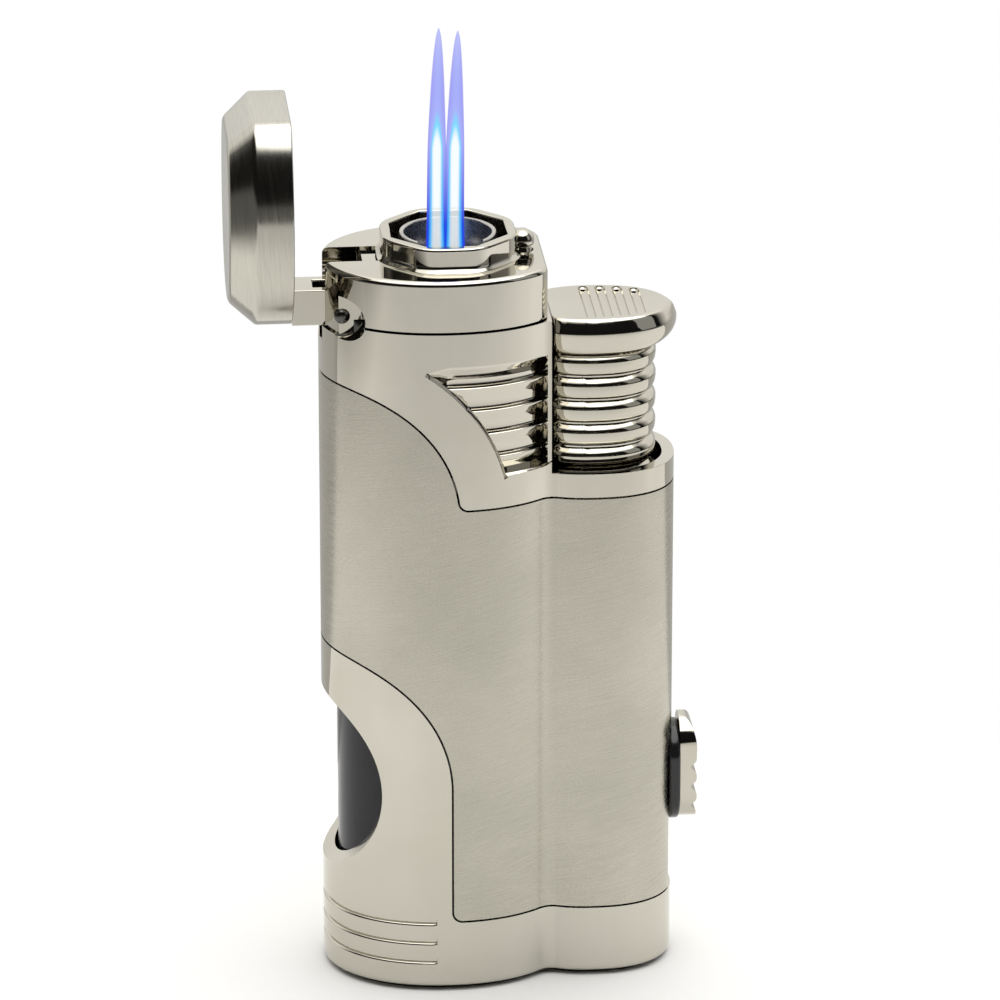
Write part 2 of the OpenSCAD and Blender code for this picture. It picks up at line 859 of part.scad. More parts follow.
body_shell();
foot_trim();
base_plate();
base_screws();
upper_housing();
top_cap();
chimney();
flame_guard();
burner_head();
jet_nozzles();
mixing_tube();
burner_deck();
gas_hose();
electrode();
electrode_insulator();
ignition_wire();
lid_shell();
lid_liner();
lid_arm();
arm_screws();
hinge_pin();
lid_spring();
lid_catch();
thumb_button();
button_spring();
piezo_plunger();
piezo_body();
inner_frame();
valve_lever();
lever_pin();
lever_bracket();
gas_valve();
valve_stem();
fuel_tank();
tank_lid();
tank_gasket();
riser_tube();
regulator();
flame_adjuster();
fill_valve();
fill_stem();
bottom_seals();
punch_blade();
punch_guide();
punch_carrier();
punch_spring();
slide_plate();
thumb_slide();
slide_screw();
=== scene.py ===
import json
from math import atan2, cos, exp, hypot, pi, radians, sin, sqrt

import bpy
from mathutils import Matrix, Vector


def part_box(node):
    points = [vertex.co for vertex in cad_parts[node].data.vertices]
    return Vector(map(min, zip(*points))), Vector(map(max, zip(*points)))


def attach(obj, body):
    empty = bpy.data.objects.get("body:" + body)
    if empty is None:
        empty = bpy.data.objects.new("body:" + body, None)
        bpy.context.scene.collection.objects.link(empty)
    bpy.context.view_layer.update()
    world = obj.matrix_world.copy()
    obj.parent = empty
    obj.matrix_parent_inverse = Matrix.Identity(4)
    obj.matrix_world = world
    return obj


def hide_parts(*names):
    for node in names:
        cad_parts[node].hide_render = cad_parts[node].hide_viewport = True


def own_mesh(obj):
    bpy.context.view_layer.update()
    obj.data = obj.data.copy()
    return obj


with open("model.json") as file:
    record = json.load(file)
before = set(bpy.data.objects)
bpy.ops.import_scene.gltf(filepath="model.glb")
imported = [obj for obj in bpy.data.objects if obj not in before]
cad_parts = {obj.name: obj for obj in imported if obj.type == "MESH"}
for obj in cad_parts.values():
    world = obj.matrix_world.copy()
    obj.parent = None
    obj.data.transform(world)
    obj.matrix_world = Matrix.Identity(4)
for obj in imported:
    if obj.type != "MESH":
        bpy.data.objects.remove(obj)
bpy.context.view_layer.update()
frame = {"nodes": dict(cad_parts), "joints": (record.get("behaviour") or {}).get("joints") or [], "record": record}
MM = 0.001


# ---- measures, in millimetres, from the frame ----

def span(node):
    """Lowest and highest corner of a CAD node, in millimetres."""
    low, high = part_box(node)
    return low / MM, high / MM


def joint_point(name):
    """A point on a hinge's axis, in millimetres."""
    joint = next(j for j in frame["joints"] if j["name"] == name)
    return Vector(joint["pos_m"]) / MM


shell_low, shell_high = span("body_shell")
foot_low = span("foot_trim")[0]
cap_low, cap_high = span("top_cap")
chimney_low, chimney_high = span("chimney")
button_low = span("thumb_button")[0]
catch_low = span("lid_catch")[0]
slide_low, slide_high = span("thumb_slide")
plate_low, plate_high = span("slide_plate")
tank_low, tank_high = span("fuel_tank")
jet_low, jet_high = span("jet_nozzles")
PIN = joint_point("lid_hinge")

# Each lobe of the body: centre, half width, half depth and squareness. A seam: its height on the straight
# part, then its round shoulder's centre line, height and radius. The window: place, height and radius
BIG_LOBE = (shell_low.x + 12.26, 12.26, 9.83, 2.12)
SMALL_LOBE = (shell_high.x - 8.15, 8.15, 7.27, 2.31)
FOOT_TOP = shell_low.z
COLLAR_TOP = 53.6
CAP_SEAM = 69.4
LUG_FOOT = cap_low.z
LUG_UNDER, LUG_END = 68.1, -14.3
CAP_TOP = cap_high.z
CAP_END = cap_high.x + 0.45
RIBS, RIB_PITCH = 7, 2.42
TRACK_X = plate_low.x
CHIMNEY_X = (chimney_low.x + chimney_high.x) / 2
JETS = (jet_low.x + 0.75, jet_high.x - 0.75)
FOOT_SEAM = (FOOT_TOP, -5.3, 21.5, 13.6)
SHOULDER_SEAM = (51.0, -4.5, 50.2, 12.8)
SEAM_GAP = 0.2
WINDOW = (-22.6, 20.7, 10.5)
RECESS_R = 17.95
RECESS_FOOT = 54.6
LID_RISE, LID_WALL = 6.25, 0.8
PIN_HALF, ARM_SLOT = 4.8, 2.25
CATCH_X = catch_low.x + 1.05
SPARK_Y = 3.1
FILL_X, DIAL_X, PUNCH_X, SCREW_X, SCREW_Y = -10.2, -3.4, 11.6, 5.0, 3.3
# Half depth of a cutter that goes right through, and the lobes' valley
Y = 15
VALLEY_X = 4.85
LOBE_SIDES = 112
SIDE = 60


# ---- outlines ----

def lobe_point(lobe, t, w):
    x, a, b, n = lobe
    return Vector((x + (a - t) * signed_power(cos(w), 2 / n), (b - t) * signed_power(sin(w), 2 / n)))


def lobe_angle(lobe, t, x):
    """Angle at which the upper half of a lobe's outline passes x."""
    cx, a, b, n = lobe
    c = signed_power(max(-1.0, min(1.0, (x - cx) / (a - t))), n / 2)
    return atan2(sqrt(max(0.0, 1 - c * c)), c)


def rounded(before, corner, after, steps):
    """Points of a soft corner from before to after."""
    points = []
    for i in range(1, steps):
        s = i / steps
        points.append((1 - s) ** 2 * before + 2 * s * (1 - s) * corner + s * s * after)
    return points


def mirrored(half):
    """Closed outline from its upper half, which starts and ends on the X axis."""
    return half + [Vector((p.x, -p.y)) for p in reversed(half[1:-1])]


def body_outline(t, valley=1.1):
    """Both lobes, t inside the skin, with a soft valley between them."""
    low, high = 2.0, 9.0
    for _ in range(40):
        x = (low + high) / 2
        big = lobe_point(BIG_LOBE, t, lobe_angle(BIG_LOBE, t, x)).y
        small = lobe_point(SMALL_LOBE, t, lobe_angle(SMALL_LOBE, t, x)).y
        low, high = (x, high) if big > small else (low, x)
    right_end = lobe_angle(SMALL_LOBE, t, low + valley)
    left_start = lobe_angle(BIG_LOBE, t, low - valley)
    right = [lobe_point(SMALL_LOBE, t, right_end * i / SIDE) for i in range(SIDE + 1)]
    left = [lobe_point(BIG_LOBE, t, left_start + (pi - left_start) * i / LOBE_SIDES)
            for i in range(LOBE_SIDES + 1)]
    crease = lobe_point(BIG_LOBE, t, lobe_angle(BIG_LOBE, t, low))
    right[0].y = left[-1].y = 0
    return mirrored(right + rounded(right[-1], crease, left[0], 8) + left)


def cap_outline(t, corner=0.9):
    """The big lobe with its right end cut flat, t inside the skin."""
    end = CAP_END - t
    start = lobe_angle(BIG_LOBE, t, end - corner)
    left = [lobe_point(BIG_LOBE, t, start + (pi - start) * i / LOBE_SIDES)
            for i in range(LOBE_SIDES + 1)]
    left[-1].y = 0
    y = lobe_point(BIG_LOBE, t, lobe_angle(BIG_LOBE, t, end)).y
    flat = [Vector((end, (y - corner) * i / 6)) for i in range(7)]
    return mirrored(flat + rounded(flat[-1], Vector((end, y)), left[0], 8) + left)


def button_outline(t, flat_x, corner=0.8):
    """The small lobe with its left end cut flat."""
    start = lobe_angle(SMALL_LOBE, t, flat_x + corner)
    right = [lobe_point(SMALL_LOBE, t, start * i / LOBE_SIDES) for i in range(LOBE_SIDES + 1)]
    right[0].y = 0
    y = lobe_point(SMALL_LOBE, t, lobe_angle(SMALL_LOBE, t, flat_x)).y
    flat = [Vector((flat_x, (y - corner) * (6 - i) / 6)) for i in range(7)]
    return mirrored(right + rounded(right[-1], Vector((flat_x, y)), flat[0], 8) + flat)


def arc(x, y, r, start, end, steps):
    angles = [radians(start + (end - start) * i / steps) for i in range(steps + 1)]
    return [Vector((x + r * cos(a), y + r * sin(a))) for a in angles]


def signed_power(value, exponent):
    return (1 if value > 0 else -1) * abs(value) ** exponent


# ---- modelling helpers; every piece is modelled in millimetres and scaled at the end ----

def deselect():
    if bpy.context.mode != "OBJECT":
        bpy.ops.object.mode_set(mode="OBJECT")
    bpy.ops.object.select_all(action="DESELECT")


def only(obj):
    deselect()
    obj.select_set(True)
    bpy.context.view_layer.objects.active = obj


def added(name):
    """The primitive just added, under its own name."""
    obj = bpy.context.object
    obj.name = obj.data.name = name
    return obj


def settle():
    """Puts the piece's place and size into its mesh."""
    bpy.ops.object.transform_apply(location=True, rotation=True, scale=True)


def modify(obj, kind, **settings):
    only(obj)
    bpy.ops.object.modifier_add(type=kind)
    modifier = obj.modifiers[-1]
    for setting, value in settings.items():
        setattr(modifier, setting, value)
    bpy.ops.object.modifier_apply(modifier=modifier.name)


def edit(obj, kind="FACE"):
    only(obj)
    bpy.ops.object.mode_set(mode="EDIT")
    bpy.ops.mesh.select_mode(type=kind)


def select_edges(obj, test):
    """Leaves edit mode on with only those edges selected whose two ends pass the test."""
    edit(obj, "EDGE")
    bpy.ops.mesh.select_all(action="DESELECT")
    bpy.ops.object.mode_set(mode="OBJECT")
    vertices = obj.data.vertices
    for e in obj.data.edges:
        e.select = test(vertices[e.vertices[0]], vertices[e.vertices[1]])
    bpy.ops.object.mode_set(mode="EDIT")


def outward(obj):
    edit(obj)
    bpy.ops.mesh.select_all(action="SELECT")
    bpy.ops.mesh.remove_doubles(threshold=1e-4)
    bpy.ops.mesh.normals_make_consistent(inside=False)
    only(obj)


def plate(name, points, z=0.0):
    """A flat face with that outline."""
    deselect()
    bpy.ops.mesh.primitive_circle_add(vertices=len(points), radius=1, fill_type="NGON")
    obj = added(name)
    for v, p in zip(obj.data.vertices, points):
        v.co = (p.x, p.y, z)
    return obj


def prism(name, points, z0, z1):
    obj = plate(name, points, z0)
    edit(obj)
    bpy.ops.mesh.select_all(action="SELECT")
    bpy.ops.mesh.extrude_region_move(TRANSFORM_OT_translate={"value": (0, 0, z1 - z0)})
    outward(obj)
    return obj


def side_prism(name, points, y0, y1):
    """A side view, X across and Z up, run from y0 to y1."""
    obj = prism(name, points, -y1, -y0)
    turn(obj, "X", 90, (0, 0, 0))
    return obj


def turn(obj, axis, degrees, centre):
    """Turns the mesh about a line through centre, in millimetres."""
    there = Matrix.Translation(Vector(centre))
    obj.data.transform(there @ Matrix.Rotation(radians(degrees), 4, axis) @ there.inverted())


def tower(name, outline, levels):
    """A wall that follows an outline upwards. levels are (height, inset), where inset is a number or
    a function of the place on the outline."""
    base, inner = outline(0), outline(1)
    index = {(round(p.x, 3), round(p.y, 3)): i for i, p in enumerate(base)}
    obj = plate(name, base, levels[0][0])
    edit(obj)
    bpy.ops.mesh.select_all(action="SELECT")
    for (low, _), (high, _) in zip(levels, levels[1:]):
        bpy.ops.mesh.extrude_region_move(TRANSFORM_OT_translate={"value": (0, 0, high - low)})
    only(obj)
    inset_at = {round(z, 3): inset for z, inset in levels}
    for v in obj.data.vertices:
        i = index[(round(v.co.x, 3), round(v.co.y, 3))]
        inset = inset_at[round(v.co.z, 3)]
        t = inset(base[i]) if callable(inset) else inset
        p = base[i] + (inner[i] - base[i]) * t
        v.co.x, v.co.y = p.x, p.y
    outward(obj)
    return obj


def listed(name, points, edges, faces):
    """A piece from listed points, edges and faces, begun as a primitive."""
    deselect()
    bpy.ops.mesh.primitive_circle_add(vertices=3)
    obj = added(name)
    obj.data.clear_geometry()
    obj.data.from_pydata(points, edges, faces)
    return obj


def rod(name, r, z0, z1, x=0.0, y=0.0, sides=48):
    deselect()
    middle = (x, y, (z0 + z1) / 2)
    bpy.ops.mesh.primitive_cylinder_add(vertices=sides, radius=r, depth=z1 - z0, location=middle)
    settle()
    return added(name)


def rod_y(name, r, y0, y1, x, z, sides):
    obj = rod(name, r, y0, y1, 0, 0, sides)
    turn(obj, "X", -90, (0, 0, 0))
    obj.data.transform(Matrix.Translation((x, 0, z)))
    return obj


def block(name, low, high):
    deselect()
    low, high = Vector(low), Vector(high)
    bpy.ops.mesh.primitive_cube_add(size=1, location=(low + high) / 2, scale=high - low)
    settle()
    return added(name)


def lathe(name, profile, x, y, steps):
    """A turned piece from its (radius, height) profile."""
    deselect()
    bpy.ops.mesh.primitive_circle_add(vertices=len(profile), radius=1, fill_type="NOTHING")
    obj = added(name)
    for v, (r, z) in zip(obj.data.vertices, profile):
        v.co = (r, 0, z)
    last = len(profile) - 1
    if abs(profile[0][0]) < 1e-6:
        select_edges(obj, lambda a, b: {a.index, b.index} == {0, last})
        bpy.ops.mesh.delete(type="EDGE")
    edit(obj, "VERT")
    bpy.ops.mesh.select_all(action="SELECT")
    bpy.ops.mesh.spin(steps=steps, angle=2 * pi, center=(0, 0, 0), axis=(0, 0, 1))
    outward(obj)
    obj.data.transform(Matrix.Translation((x, y, 0)))
    return obj


def cut(obj, cutter, operation="DIFFERENCE"):
    modify(obj, "BOOLEAN", operation=operation, solver="EXACT", object=cutter)
    bpy.data.objects.remove(cutter)


def soften(obj, width, segments, angle):
    """Rounds every edge sharper than the angle."""
    modify(obj, "BEVEL", width=width, segments=segments, angle_limit=radians(angle), limit_method="ANGLE",
           miter_outer="MITER_ARC")


def round_edges(obj, test, width, segments):
    """Rounds the edges whose two ends' places pass the test."""
    select_edges(obj, lambda a, b: test(a.co, b.co))
    bpy.ops.mesh.bevel(offset=width, segments=segments, affect="EDGES", clamp_overlap=True)
    only(obj)


def join(name, *objs):
    deselect()
    for o in objs:
        o.select_set(True)
    bpy.context.view_layer.objects.active = objs[0]
    bpy.ops.object.join()
    objs[0].name = objs[0].data.name = name
    return objs[0]


def finish(obj, body, replaces, material, smooth):
    """Brings a piece to metres, gives it its finish and lets it ride on a body."""
    only(obj)
    obj.scale = (MM, MM, MM)
    settle()
    bpy.ops.object.shade_smooth_by_angle(angle=radians(smooth))
    modify(obj, "WEIGHTED_NORMAL", keep_sharp=True)
    obj.data.materials.clear()
    obj.data.materials.append(material)
    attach(obj, body)
    if replaces:
        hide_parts(*replaces)
    return obj


# ---- seams between the metal parts ----

def below_seam(z, x, round_z, round_r, gap=0.0, fillet=1.1):
    """Side view of what lies below a seam that steps up over a round shoulder at the hinge side."""
    middle = x - round_r
    z, r, fillet = z + gap, round_r + gap, fillet - gap
    rise = z + fillet - round_z
    fillet_x = middle + (sqrt((r + fillet) ** 2 - rise ** 2) if rise > 0 else r + fillet)
    lean = atan2(max(rise, 0), fillet_x - middle) * 180 / pi
    return ([Vector((-30, -5)), Vector((30, -5)), Vector((30, z))]
            + arc(fillet_x, z + fillet, fillet, 270, 180 + lean, 8)
            + arc(middle, round_z, r, lean, 90, 48) + [Vector((-30, round_z + r))])


def off_skin(p):
    """How far a point lies inside the skin, roughly, in millimetres."""
    depth = 99.0
    for x, a, b, n in (BIG_LOBE, SMALL_LOBE):
        k = (abs((p.x - x) / a) ** n + abs(p.y / b) ** n) ** (1 / n)
        depth = min(depth, (1 - k) * b)
    return depth


def lobe_normal(lobe, p):
    x, a, b, n = lobe
    along, across = signed_power((p.x - x) / a, n - 1) / a, signed_power(p.y / b, n - 1) / b
    return Vector((along, across, 0)).normalized()


def skin_normal(p, soft=1.1):
    """Outward direction of the body's skin at a point on it."""
    share = min(1.0, max(0.0, (p.x - VALLEY_X + soft) / (2 * soft)))
    return (lobe_normal(BIG_LOBE, p) * (1 - share) + lobe_normal(SMALL_LOBE, p) * share).normalized()


def true_skin(obj):
    """Shades the upright skin by its real curve, so that cuts and seams don't disturb the reflections."""
    mesh = obj.data
    normals = [Vector(n.vector) for n in mesh.corner_normals]
    for face in mesh.polygons:
        centre = face.center / MM
        upright = abs(face.normal.z) < 0.01
        if upright and off_skin(centre) < 0.45 and face.normal.dot(skin_normal(centre)) > 0.985:
            for corner in face.loop_indices:
                normals[corner] = skin_normal(mesh.vertices[mesh.loops[corner].vertex_index].co / MM)
    mesh.normals_split_custom_set(normals)


# ---- finishes ----

def new_finish(name, metallic, **sockets):
    material = bpy.data.materials.new(name)
    material.use_nodes = True
    shader = material.node_tree.nodes["Principled BSDF"]
    shader.inputs["Metallic"].default_value = metallic
    for socket, value in sockets.items():
        shader.inputs[socket.replace("_", " ")].default_value = value
    return material, material.node_tree, shader


def grain(tree, scale, detail, tilt=(0, 0, 0)):
    """Noise on the piece's own coordinates, stretched by a scale for each axis and then tilted."""
    place = tree.nodes.new("ShaderNodeTexCoord")
    mapping = tree.nodes.new("ShaderNodeMapping")
    mapping.vector_type = "TEXTURE"
    mapping.inputs["Scale"].default_value = [1 / s for s in scale]
    mapping.inputs["Rotation"].default_value = [radians(a) for a in tilt]
    noise = tree.nodes.new("ShaderNodeTexNoise")
    noise.inputs["Scale"].default_value = 1
    noise.inputs["Detail"].default_value = detail
    tree.links.new(place.outputs["Object"], mapping.inputs["Vector"])
    tree.links.new(mapping.outputs["Vector"], noise.inputs["Vector"])
    return noise.outputs["Fac"]


def bands(tree, value, *stops):
    """Colours at given places along a value."""
    ramp = tree.nodes.new("ShaderNodeValToRGB")
    elements = ramp.color_ramp.elements
    while len(elements) < len(stops):
        elements.new(0.5)
    for element, (place, color) in zip(elements, stops):
        element.position = place
        element.color = (*color, 1)
    tree.links.new(value, ramp.inputs["Fac"])
    return ramp.outputs["Color"]


def remap(tree, value, low, high, start, end):
    """A value that runs from start at low to end at high."""
    run = tree.nodes.new("ShaderNodeMapRange")
    for socket, number in zip(("From Min", "From Max", "To Min", "To Max"), (low, high, start, end)):
        run.inputs[socket].default_value = number
    tree.links.new(value, run.inputs["Value"])
    return run.outputs["Result"]


def spread(tree, noise, low, high):
    """Noise moved into the range low to high."""
    return remap(tree, noise, 0.3, 0.7, low, high)


def blend_colors(tree, share, a, b):
    mix = tree.nodes.new("ShaderNodeMix")
    mix.data_type = "RGBA"
    tree.links.new(share, mix.inputs["Factor"])
    tree.links.new(a, mix.inputs["A"])
    tree.links.new(b, mix.inputs["B"])
    return mix.outputs["Result"]


def multiply(tree, a, b):
    mix = tree.nodes.new("ShaderNodeMix")
    mix.data_type, mix.blend_type = "RGBA", "MULTIPLY"
    mix.inputs["Factor"].default_value = 1.0
    tree.links.new(a, mix.inputs["A"])
    tree.links.new(b, mix.inputs["B"])
    return mix.outputs["Result"]


def relief(tree, shader, height, depth):
    """Bump with a depth in metres."""
    bump = tree.nodes.new("ShaderNodeBump")
    bump.inputs["Distance"].default_value = depth
    tree.links.new(height, bump.inputs["Height"])
    tree.links.new(bump.outputs["Normal"], shader.inputs["Normal"])


FINISHES = {}


def metal(name, dark, light, rough, mottle=90, stroke=None, tilt=(0, 0, 0), depth=1e-6):
    """A metal with a slight mottle, roughness that varies and fine marks from its finishing."""
    material, tree, shader = new_finish(name, 1.0)
    cloud = grain(tree, (mottle, mottle, mottle), 3)
    fine = grain(tree, stroke or (2500, 2500, 2500), 5, tilt)
    color = bands(tree, cloud, (0.35, dark), (0.65, light))
    if stroke:
        color = multiply(tree, color, bands(tree, fine, (0.3, (0.84, 0.84, 0.84)), (0.68, (1, 1, 1))))
    tree.links.new(color, shader.inputs["Base Color"])
    tree.links.new(spread(tree, fine, *rough), shader.inputs["Roughness"])
    relief(tree, shader, fine, depth)
    FINISHES[name] = material


def moulded(name, dark, light, rough, depth=2e-6, scale=1500, **sockets):
    """A plastic, rubber or ceramic with a fine skin."""
    material, tree, shader = new_finish(name, 0.0, **sockets)
    skin = grain(tree, (scale, scale, scale), 4)
    color = bands(tree, grain(tree, (120, 120, 120), 3), (0.35, dark), (0.65, light))
    tree.links.new(color, shader.inputs["Base Color"])
    tree.links.new(spread(tree, skin, *rough), shader.inputs["Roughness"])
    relief(tree, shader, skin, depth)
    FINISHES[name] = material


# Brush strokes: how fine they are along X, Y and Z, and how far they lean
STROKE, STROKE_LEAN = (320, 320, 10000), (0, -13, 0)
LID_STROKE, LID_STROKE_LEAN = (260, 260, 11000), (0, 85, 0)
metal("brushed_nickel", (0.47, 0.452, 0.385), (0.54, 0.512, 0.442), (0.20, 0.32),
      70, STROKE, STROKE_LEAN, 4e-6)
metal("satin_nickel", (0.50, 0.48, 0.42), (0.56, 0.54, 0.475), (0.12, 0.19),
      70, LID_STROKE, LID_STROKE_LEAN)
metal("polished_nickel", (0.52, 0.495, 0.425), (0.57, 0.545, 0.48), (0.04, 0.075), 70, depth=2e-7)
metal("guard_metal", (0.40, 0.385, 0.37), (0.54, 0.52, 0.50), (0.2, 0.34), 300)
moulded("black_gloss", (0.006, 0.006, 0.007), (0.016, 0.015, 0.017), (0.10, 0.18), 5e-7)
moulded("smoked_tank", (0.010, 0.009, 0.012), (0.020, 0.018, 0.024), (0.12, 0.22), 1e-6, 500,
        Specular_IOR_Level=0.32)
moulded("black_plastic", (0.012, 0.012, 0.013), (0.03, 0.03, 0.032), (0.4, 0.6))
metal("dark_steel", (0.10, 0.095, 0.09), (0.2, 0.19, 0.18), (0.18, 0.32), 300)
metal("spring_steel", (0.45, 0.45, 0.46), (0.6, 0.6, 0.61), (0.18, 0.3), 300)
metal("brass", (0.62, 0.44, 0.19), (0.76, 0.58, 0.28), (0.16, 0.3), 250)
metal("burner_metal", (0.20, 0.18, 0.17), (0.36, 0.34, 0.34), (0.25, 0.42), 350)
moulded("ceramic", (0.72, 0.70, 0.64), (0.84, 0.82, 0.77), (0.2, 0.32))
moulded("hose", (0.55, 0.49, 0.36), (0.66, 0.60, 0.47), (0.3, 0.45))
moulded("red_wire", (0.32, 0.02, 0.015), (0.42, 0.035, 0.03), (0.35, 0.5))
moulded("seal", (0.01, 0.01, 0.01), (0.025, 0.025, 0.025), (0.55, 0.75))


def ready(obj, body, slot, *replaces, smooth=35, finish_name=None):
    return finish(obj, body, replaces, FINISHES[finish_name or slot], smooth)


def ready_skin(obj, slot, *replaces):
    true_skin(ready(obj, "body", slot, *replaces))


# ---- foot trim and body shell ----

def make_foot_trim():
    def groove(depth):
        """A groove that runs round the hinge side only."""
        return lambda p: depth if p.x < -7 else 0.0
    z = foot_low.z
    levels = [(z, 0.4), (z + 0.1, 0.2), (z + 0.3, 0.05), (z + 0.6, 0.0)]
    for z in (2.9, 5.0, 7.1):
        levels += [(z, 0.0), (z + 0.08, groove(0.03)), (z + 0.18, groove(0.11)), (z + 0.27, groove(0.34)),
                   (z + 0.58, groove(0.34)), (z + 0.68, 0.0)]
    trim = tower("foot_band", body_outline, levels + [(37, 0.0)])
    cut(trim, side_prism("c", below_seam(*FOOT_SEAM), -Y, Y), "INTERSECT")
    cut(trim, prism("c", body_outline(1.2), -2, 40))
    x, z, r = WINDOW
    cut(trim, rod_y("c", r, -Y, Y, x, z, 160))

    def lip(a, b):
        """An edge where the window meets the skin."""
        return all(abs(hypot(p.x - x, p.z - z) - r) < 0.02 and off_skin(p) < 0.3 for p in (a, b))
    round_edges(trim, lip, 0.5, 5)
    soften(trim, 0.15, 4, 45)
    ready_skin(trim, "polished_nickel", "foot_trim")


def make_body_shell():
    shell = tower("body_sleeve", body_outline, [(6.5, 0.0), (64, 0.0)])
    cut(shell, side_prism("c", below_seam(*SHOULDER_SEAM), -Y, Y), "INTERSECT")
    cut(shell, side_prism("c", below_seam(*FOOT_SEAM, gap=SEAM_GAP), -Y, Y))
    cut(shell, prism("c", body_outline(1.0), -2, 70))
    # the flat track behind the punch's slide, and the slot in it
    cut(shell, block("c", (TRACK_X, -3.5, -1), (40, 3.5, 24.6)))
    cut(shell, block("c", (9, -1.5, 14.5), (40, 1.5, 24.3)))
    soften(shell, 0.07, 2, 45)
    ready_skin(shell, "brushed_nickel", "body_shell")


# ---- upper housing with its louvres ----

def vent_side(top=67):
    """Side view of the louvre recess, which reaches round the body's shoulder."""
    x, z, right = SHOULDER_SEAM[1] - SHOULDER_SEAM[3], SHOULDER_SEAM[2], 4.45

    def angle(height):
        return atan2(height - z, sqrt(RECESS_R ** 2 - (height - z) ** 2)) * 180 / pi
    curve = arc(x, z, RECESS_R, angle(top), angle(RECESS_FOOT), 30)
    return [Vector((right, top))] + curve + [Vector((right, RECESS_FOOT))]


def skin_point(x, z, side):
    cx, a, b, n = BIG_LOBE
    return Vector((x, side * b * (1 - abs((x - cx) / a) ** n) ** (1 / n), z))


def recess_curve(side):
    """Stations up the recess's curved edge: point on the skin, outward, and into the metal."""
    cx, cz = SHOULDER_SEAM[1] - SHOULDER_SEAM[3], SHOULDER_SEAM[2]
    stations = []
    for i in range(41):
        a = radians(12.5 + 45 * i / 40)
        p = skin_point(cx + RECESS_R * cos(a), cz + RECESS_R * sin(a), side)
        stations.append((p, skin_normal(p), Vector((-cos(a), 0, -sin(a)))))
    return stations


def recess_foot(side):
    """Stations along the recess's lower edge."""
    points = [skin_point(-0.1 + 5.5 * i / 30, RECESS_FOOT, side) for i in range(31)]
    return [(p, skin_normal(p), Vector((0, 0, -1))) for p in points]


def bevel_bar(stations, width):
    """A three-sided bar along an edge, to cut a bevel of that width."""
    points, faces = [], []
    for p, out, inward in stations:
        points += [p + inward * width + out * 0.02, p + out - inward * 0.6, p - out * width - inward * 0.02]
    last = len(points) - 3
    for i in range(0, last, 3):
        for a, b in ((0, 1), (1, 2), (2, 0)):
            faces.append((i + a, i + b, i + 3 + b, i + 3 + a))
    faces += [(0, 1, 2), (last + 2, last + 1, last)]
    bar = listed("bevel_bar", points, [], faces)
    outward(bar)
    return bar


def hinge_pockets(piece):
    """A round pocket for each end of the hinge pin."""
    for y0, y1 in ((-20, -PIN_HALF), (PIN_HALF, 20)):
        cut(piece, rod_y("c", 2.1, y0, y1, PIN.x, PIN.z, 64))


def neck_hollow(z0, z1):
    return prism("c", [Vector((min(p.x, 3.7), p.y)) for p in cap_outline(2.2)], z0, z1)


def make_housing():
    housing = prism("neck_housing", body_outline(0), 48, CAP_SEAM - 0.08)
    cut(housing, side_prism("c", below_seam(*SHOULDER_SEAM, gap=SEAM_GAP), -Y, Y))
    cut(housing, block("c", (CAP_END, -Y, COLLAR_TOP), (40, Y, 80)))

    def end_corner(a, b):
        return (abs(a.x - CAP_END) < 0.02 and abs(b.x - CAP_END) < 0.02 and abs(a.y - b.y) < 0.01
                and min(a.z, b.z) > COLLAR_TOP - 0.1 and abs(a.y) > 2)
    round_edges(housing, end_corner, 0.5, 5)

    # louvres: each face slopes in from its lip down to the foot of the next one
    louvres = [(50, 1.0), (54.9, 1.0), (55.1, 0.95)]
    for i in range(4):
        z = 56.45 + RIB_PITCH * i
        louvres += [(z - 0.9, 0.62), (z - 0.35, 0.36), (z - 0.08, 0.3), (z, 0.36), (z + 0.05, 0.5),
                    (z + 0.09, 0.88), (z + 0.36, 0.95)]

    def fade(depth):
        """Depth of the recess near its top, a little less towards the hinge side."""
        return lambda p: depth - 0.5 * min(1.0, max(0.0, (-5.5 - p.x) / 3))
    louvres += [(z, fade(depth)) for z, depth in (
        (64.5, 0.86), (64.9, 0.66), (65.3, 0.42), (65.7, 0.18), (66.1, -0.04), (66.6, -0.3), (72, -0.5))]
    cutter = side_prism("c", vent_side(), -Y, Y)
    cut(cutter, tower("louvres", body_outline, louvres))
    cut(housing, cutter)
    for side in (-1, 1):
        cut(housing, bevel_bar(recess_curve(side), 0.32))
        cut(housing, bevel_bar(recess_foot(side), 0.22))
    cut(housing, prism("c", body_outline(1.2), 40, 54.4))
    cut(housing, neck_hollow(50, 90))
    cut(housing, block("c", (-40, -Y, LUG_UNDER), (LUG_END, Y, 90)))
    cut(housing, block("c", (-40, -ARM_SLOT, LUG_FOOT), (-11.9, ARM_SLOT, 90)))
    hinge_pockets(housing)

    def rim(a, b):
        """An edge of the collar's top, round the button."""
        return all(abs(p.z - COLLAR_TOP) < 0.02 and p.x > CAP_END + 0.2 for p in (a, b))
    round_edges(housing, rim, 0.3, 4)
    soften(housing, 0.08, 3, 40)
    ready_skin(housing, "polished_nickel", "upper_housing")


